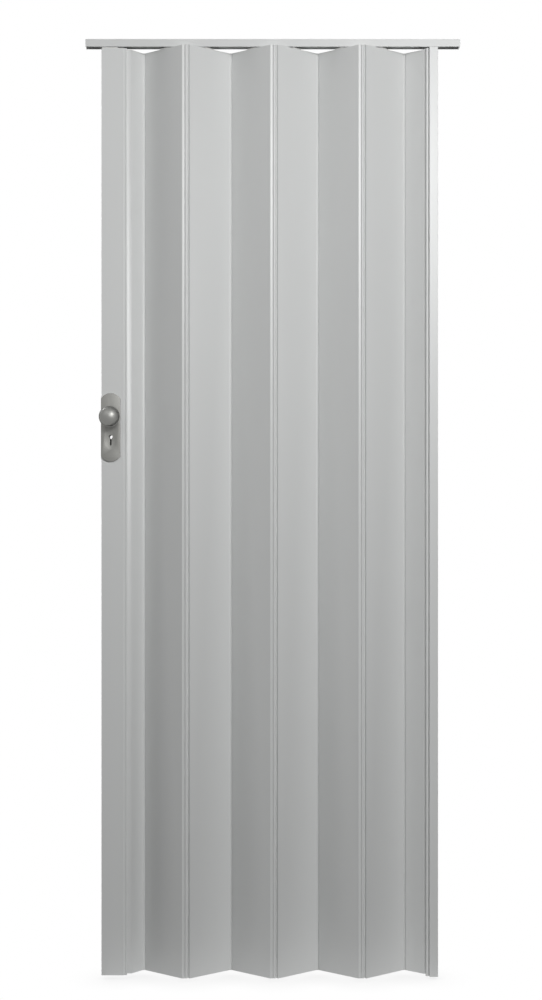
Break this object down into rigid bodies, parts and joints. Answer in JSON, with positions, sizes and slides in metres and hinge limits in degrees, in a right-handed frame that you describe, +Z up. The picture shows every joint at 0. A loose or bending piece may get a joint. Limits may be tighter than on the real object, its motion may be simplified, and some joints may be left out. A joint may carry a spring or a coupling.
{
  "type": "folding door",
  "caption": "Accordion folding door of hollow vertical slats on knuckle hinges, hung from a top track, with a lockable lead post and a wall jamb.",
  "frame": {"origin": "middle of the track's top face", "axes": "+Z up, +X along the track towards the fixed jamb, -Y towards the side with the shown handle"},
  "size_m": [0.815, 0.1066, 2.0388],
  "materials": {
    "slats": "smooth satin silver-grey extruded plastic",
    "rail": "smooth light grey extruded rail",
    "handle": "satin nickel",
    "steel": "zinc plated",
    "glider": "moulded nylon"
  },
  "bodies": {
    "frame": {"track_rail": "rail", "track_screw_1": "steel", "track_screw_2": "steel", "track_screw_3": "steel", "track_screw_4": "steel", "jamb_profile": "slats", "wall_channel": "steel", "wall_screw_1": "steel", "wall_screw_2": "steel", "wall_screw_3": "steel"},
    "half_slat_right": {"half_slat_right": "slats"},
    "slat_6": {"slat_6": "slats", "glider_6": "glider"},
    "slat_5": {"slat_5": "slats", "glider_5": "glider"},
    "slat_4": {"slat_4": "slats", "glider_4": "glider"},
    "slat_3": {"slat_3": "slats", "glider_3": "glider"},
    "slat_2": {"slat_2": "slats", "glider_2": "glider"},
    "slat_1": {"slat_1": "slats", "glider_1": "glider"},
    "half_slat_left": {"half_slat_left": "slats"},
    "lead_post": {"lead_post": "slats", "post_carriage": "glider", "lock_case": "steel", "lock_faceplate": "steel", "front_plate": "handle", "rear_plate": "handle", "faceplate_screw_1": "steel", "faceplate_screw_2": "steel", "plate_screw_1": "steel", "plate_screw_2": "steel"},
    "handle": {"knob_front": "handle", "knob_rear": "handle", "spindle": "steel", "latch_cam": "steel"},
    "latch": {"latch_bolt": "steel"},
    "deadlock": {"deadlock_slide": "steel"}
  },
  "joints": [
    {"name": "fold", "type": "hinge", "parent": "frame", "child": "half_slat_right", "pos_m": [0.3364, 0, -1], "axis": [0, 0, -1], "range_deg": [-5.5, 50]},
    {"name": "hinge_slat_6", "type": "hinge", "parent": "half_slat_right", "child": "slat_6", "pos_m": [0.28877, 0.0275, -1], "axis": [0, 0, -1], "range_deg": [-100, 11]},
    {"name": "hinge_slat_5", "type": "hinge", "parent": "slat_6", "child": "slat_5", "pos_m": [0.19351, -0.0275, -1], "axis": [0, 0, -1], "range_deg": [-11, 100]},
    {"name": "hinge_slat_4", "type": "hinge", "parent": "slat_5", "child": "slat_4", "pos_m": [0.09824, 0.0275, -1], "axis": [0, 0, -1], "range_deg": [-100, 11]},
    {"name": "hinge_slat_3", "type": "hinge", "parent": "slat_4", "child": "slat_3", "pos_m": [0.00298, -0.0275, -1], "axis": [0, 0, -1], "range_deg": [-11, 100]},
    {"name": "hinge_slat_2", "type": "hinge", "parent": "slat_3", "child": "slat_2", "pos_m": [-0.09228, 0.0275, -1], "axis": [0, 0, -1], "range_deg": [-100, 11]},
    {"name": "hinge_slat_1", "type": "hinge", "parent": "slat_2", "child": "slat_1", "pos_m": [-0.18754, -0.0275, -1], "axis": [0, 0, -1], "range_deg": [-11, 100]},
    {"name": "hinge_half_slat", "type": "hinge", "parent": "slat_1", "child": "half_slat_left", "pos_m": [-0.28281, 0.0275, -1], "axis": [0, 0, -1], "range_deg": [-100, 11]},
    {"name": "hinge_post", "type": "hinge", "parent": "half_slat_left", "child": "lead_post", "pos_m": [-0.33044, 0, -1], "axis": [0, 0, -1], "range_deg": [-5.5, 50]},
    {"name": "knob_turn", "type": "hinge", "parent": "lead_post", "child": "handle", "pos_m": [-0.35214, 0, -0.8226], "axis": [0, -1, 0], "range_deg": [0, 60]},
    {"name": "latch_slide", "type": "slide", "parent": "lead_post", "child": "latch", "axis": [-1, 0, 0], "range_m": [0, 0.009]},
    {"name": "deadlock_lift", "type": "slide", "parent": "lead_post", "child": "deadlock", "axis": [0, 0, 1], "range_m": [0, 0.003]}
  ],
  "couplings": [
    {"joint": "hinge_slat_6", "follows": "fold", "ratio": -2},
    {"joint": "hinge_slat_5", "follows": "fold", "ratio": 2},
    {"joint": "hinge_slat_4", "follows": "fold", "ratio": -2},
    {"joint": "hinge_slat_3", "follows": "fold", "ratio": 2},
    {"joint": "hinge_slat_2", "follows": "fold", "ratio": -2},
    {"joint": "hinge_slat_1", "follows": "fold", "ratio": 2},
    {"joint": "hinge_half_slat", "follows": "fold", "ratio": -2},
    {"joint": "hinge_post", "follows": "fold", "ratio": 1},
    {"joint": "latch_slide", "follows": "knob_turn", "m_per_rad": 0.0085943}
  ]
}
